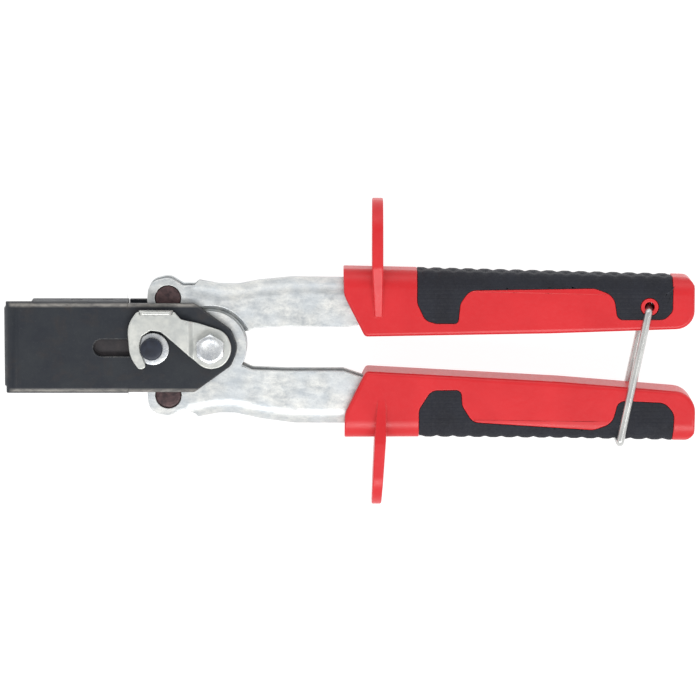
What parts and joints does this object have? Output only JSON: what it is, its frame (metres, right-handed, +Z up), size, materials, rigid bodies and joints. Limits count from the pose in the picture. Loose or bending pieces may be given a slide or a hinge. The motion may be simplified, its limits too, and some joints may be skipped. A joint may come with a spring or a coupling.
{
  "type": "hand seamer",
  "caption": "Hand pliers for joining thin sheet metal: slotted head with a pulled slider and punch, channel arms, guarded two-tone grips, swing latch and wire bail.",
  "frame": {"origin": "bottom centre of the tool's box as it lies on its guards and die, latch side up", "axes": "+X from the nose towards the grip ends, +Y towards the handle that carries the bail, +Z up along the main pivot"},
  "size_m": [0.2608, 0.116, 0.0325],
  "materials": {
    "black_steel": "blackened sheet steel, rubbed bright on bends and edges",
    "galvanised": "mottled zinc-plated pressed steel",
    "zinc": "bright zinc-plated fastener",
    "tool_steel": "ground and hardened tool steel",
    "brown_steel": "oiled brown steel pin",
    "spring_steel": "drawn spring wire",
    "red_plastic": "moulded red plastic, satin",
    "rubber": "matte moulded rubber with a fine texture"
  },
  "bodies": {
    "head": {"upper_cheek": "black_steel", "lower_cheek": "black_steel", "die_block": "tool_steel", "die_pin": "black_steel", "side_rivet_upper": "black_steel", "side_rivet_lower": "black_steel", "pivot_bolt": "zinc", "pivot_nut": "zinc", "pivot_washer": "zinc", "pivot_sleeve": "tool_steel", "return_spring": "spring_steel"},
    "slider": {"slider_bar": "brown_steel", "moving_jaw": "tool_steel", "jaw_rivet_upper": "tool_steel", "jaw_rivet_lower": "tool_steel", "punch": "tool_steel", "slider_pin": "black_steel", "slider_washer_top": "zinc", "slider_washer_bottom": "zinc", "pin_retaining_ring": "spring_steel"},
    "latch": {"latch_lever": "galvanised"},
    "upper_handle": {"upper_arm": "galvanised", "upper_ear_pin": "brown_steel", "upper_spacer_top": "zinc", "upper_spacer_bottom": "zinc", "upper_grip": "red_plastic", "upper_grip_inlay": "rubber"},
    "lower_handle": {"lower_arm": "galvanised", "lower_ear_pin": "brown_steel", "lower_grip": "red_plastic", "lower_grip_inlay": "rubber"},
    "upper_link": {"upper_link": "tool_steel"},
    "lower_link": {"lower_link_top": "tool_steel", "lower_link_bottom": "tool_steel", "lower_spacer": "zinc"},
    "bail": {"bail": "spring_steel"}
  },
  "joints": [
    {"name": "handle_opening", "type": "hinge", "parent": "head", "child": "upper_handle", "pos_m": [-0.0525, 0.00225, 0.015], "axis": [0, 0, 1], "range_deg": [0, 15], "deforming": ["return_spring"]},
    {"name": "lower_handle_opening", "type": "hinge", "parent": "head", "child": "lower_handle", "pos_m": [-0.0525, 0.00225, 0.015], "axis": [0, 0, -1], "range_deg": [0, 15]},
    {"name": "slider_travel", "type": "slide", "parent": "head", "child": "slider", "axis": [-1, 0, 0], "range_m": [0, 0.0125]},
    {"name": "upper_link_turn", "type": "hinge", "parent": "upper_handle", "child": "upper_link", "pos_m": [-0.0685, 0.02065, 0.015], "axis": [0, 0, -1], "range_deg": [0, 43]},
    {"name": "lower_link_turn", "type": "hinge", "parent": "lower_handle", "child": "lower_link", "pos_m": [-0.0685, -0.01615, 0.015], "axis": [0, 0, 1], "range_deg": [0, 43]},
    {"name": "latch_swing", "type": "hinge", "parent": "head", "child": "latch", "pos_m": [-0.0525, 0.00225, 0.026], "axis": [0, 0, -1], "range_deg": [0, 95]},
    {"name": "bail_swing", "type": "hinge", "parent": "upper_handle", "child": "bail", "pos_m": [0.1128, 0.01785, 0.015], "axis": [0, 0, 1], "range_deg": [0, 170], "deforming": ["bail"]}
  ],
  "couplings": [
    {"joint": "lower_handle_opening", "follows": "handle_opening", "ratio": 1},
    {"joint": "slider_travel", "follows": "handle_opening", "m_per_rad": 0.0475},
    {"joint": "upper_link_turn", "follows": "handle_opening", "ratio": 2.84},
    {"joint": "lower_link_turn", "follows": "handle_opening", "ratio": 2.84},
    {"joint": "latch_swing", "follows": "handle_opening", "ratio": 6.3}
  ]
}
